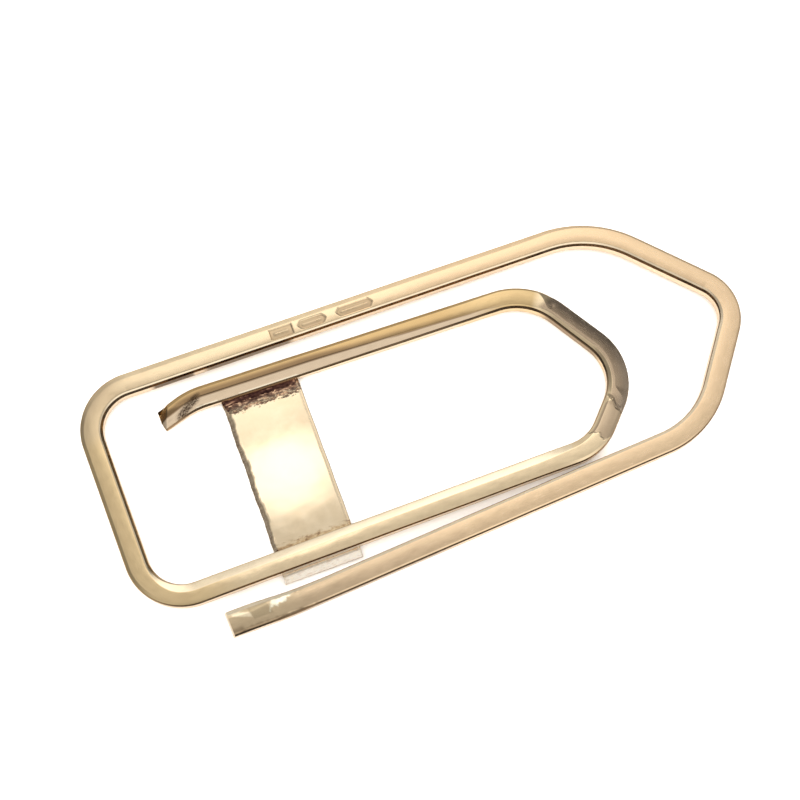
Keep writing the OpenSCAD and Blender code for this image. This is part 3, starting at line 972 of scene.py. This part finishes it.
# ---------------------------------------------------------------- camera
LENS, SENSOR = 63.0, 36.0
CAM_DIST, CAM_EL, CAM_AZ, CAM_ROLL = 126.7, 72.9, -25.3, 5.0
TARGET = Vector((27.97 + DX, 1.58 + DY, PLATE_T)) * MM
cam_data = bpy.data.cameras.new("camera")
cam = bpy.data.objects.new("camera", cam_data)
bpy.context.scene.collection.objects.link(cam)
cam_data.sensor_width = SENSOR
cam_data.lens = LENS
cam_data.clip_start, cam_data.clip_end = 0.005, 5.0
back = Vector((math.sin(rad(CAM_AZ)) * math.cos(rad(CAM_EL)),
               -math.cos(rad(CAM_AZ)) * math.cos(rad(CAM_EL)), math.sin(rad(CAM_EL))))
cam.rotation_mode = "QUATERNION"
cam.location = TARGET + back * CAM_DIST * MM
cam.rotation_quaternion = (-back).to_track_quat("-Z", "Y") @ Quaternion((0, 0, 1), rad(CAM_ROLL))
bpy.context.scene.camera = cam

# ---------------------------------------------------------------- floor and light
FLOOR_HALF = 0.6
floor_mesh = bpy.data.meshes.new("floor")
floor_mesh.from_pydata([(x * FLOOR_HALF, y * FLOOR_HALF, 0) for x, y in
                        ((-1, -1), (1, -1), (1, 1), (-1, 1))], [], [(0, 1, 2, 3)])
floor = bpy.data.objects.new("floor", floor_mesh)
bpy.context.scene.collection.objects.link(floor)
fmat, fnt, fbsdf = new_material("white_sheet")
fbsdf.inputs["Roughness"].default_value = 0.25
# White to the eye. In the metal it is bright close by and falls off with distance, like the
# floor of a small light tent.
light_path = node(fnt, "ShaderNodeLightPath")
near = remap(fnt, light_path.outputs["Ray Length"], 0.0016, 0.0045, 1.0, 0.0)
mirrored = blend_colour(fnt, near, (0.02, 0.017, 0.014), (0.66, 0.62, 0.57))
seen = blend_colour(fnt, light_path.outputs["Is Glossy Ray"], grey(0.93), mirrored)
fnt.links.new(seen, fbsdf.inputs["Base Color"])
floor_mesh.materials.append(fmat)

world = bpy.data.worlds.new("studio")
bpy.context.scene.world = world
world.use_nodes = True
wnt = world.node_tree
wnt.nodes.clear()
wout = node(wnt, "ShaderNodeOutputWorld")
tent = node(wnt, "ShaderNodeBackground")          # what the metal mirrors
fill = node(wnt, "ShaderNodeBackground")          # what lights the floor
chooser = node(wnt, "ShaderNodeMixShader")
wnt.links.new(node(wnt, "ShaderNodeLightPath").outputs["Is Glossy Ray"], chooser.inputs[0])
wnt.links.new(fill.outputs[0], chooser.inputs[1])
wnt.links.new(tent.outputs[0], chooser.inputs[2])
wnt.links.new(chooser.outputs[0], wout.inputs[0])
sky = node(wnt, "ShaderNodeTexCoord").outputs["Generated"]


def lobe(direction, inner, outer):
    """1 inside the inner angle about a direction, falling to 0 at the outer angle."""
    dot = node(wnt, "ShaderNodeVectorMath", operation="DOT_PRODUCT")
    dot.inputs[1].default_value = Vector(direction).normalized()
    wnt.links.new(sky, dot.inputs[0])
    m = node(wnt, "ShaderNodeMapRange", interpolation_type="SMOOTHSTEP")
    m.inputs["From Min"].default_value = math.cos(rad(outer))
    m.inputs["From Max"].default_value = math.cos(rad(inner))
    wnt.links.new(dot.outputs["Value"], m.inputs["Value"])
    return m.outputs["Result"]


# Direction, full and zero angle in degrees, and what the lobe adds to the tent's brightness
LOBES = (
    ((0.034, 0.238, 0.970), 0.3, 2.8, 1.20),   # lamp above the tent
    ((-0.03, 0.33, 0.943), 1, 7, 0.34),        # the spill beside it
    ((0.16, 0.46, 0.87), 2, 15, 0.55),         # its glow on the back wall
    ((0.27, 0.46, 0.84), 4, 26, 0.32),         # and the glow's wide rim
    ((0.10, -0.80, 0.60), 15, 40, 0.45),       # front wall
    (tuple(back), 4, 13, -0.55),               # the opening for the lens
    ((0.66, 0.48, 0.56), 8, 20, -0.45),        # dark corner behind the points
    ((-0.85, 0.25, 0.45), 15, 48, -0.38))      # dark side behind the heel
TENT_LEVEL = 0.62
level = TENT_LEVEL
for direction, inner, outer, gain in LOBES:
    level = calc(wnt, "ADD", level, calc(wnt, "MULTIPLY", lobe(direction, inner, outer), gain))
low_wall = remap(wnt, split(wnt, sky)[2], 0.0, 0.35, 0.25, 1.0)
wnt.links.new(calc(wnt, "MULTIPLY", level, low_wall), tent.inputs["Strength"])
tent.inputs["Color"].default_value = (1.0, 0.99, 0.97, 1)
fill.inputs["Color"].default_value = (1.0, 0.94, 0.87, 1)
fill.inputs["Strength"].default_value = 2.5

softbox = bpy.data.lights.new("top_softbox", "AREA")
softbox.size = 0.5
softbox.energy = 0.8
lamp = bpy.data.objects.new("top_softbox", softbox)
bpy.context.scene.collection.objects.link(lamp)
lamp.location = (0.06, 0.16, 0.58)
lamp.rotation_mode = "QUATERNION"
lamp.rotation_quaternion = (-Vector(lamp.location)).to_track_quat("-Z", "Y")
lamp.visible_glossy = False

bpy.context.scene.view_settings.view_transform = "Standard"
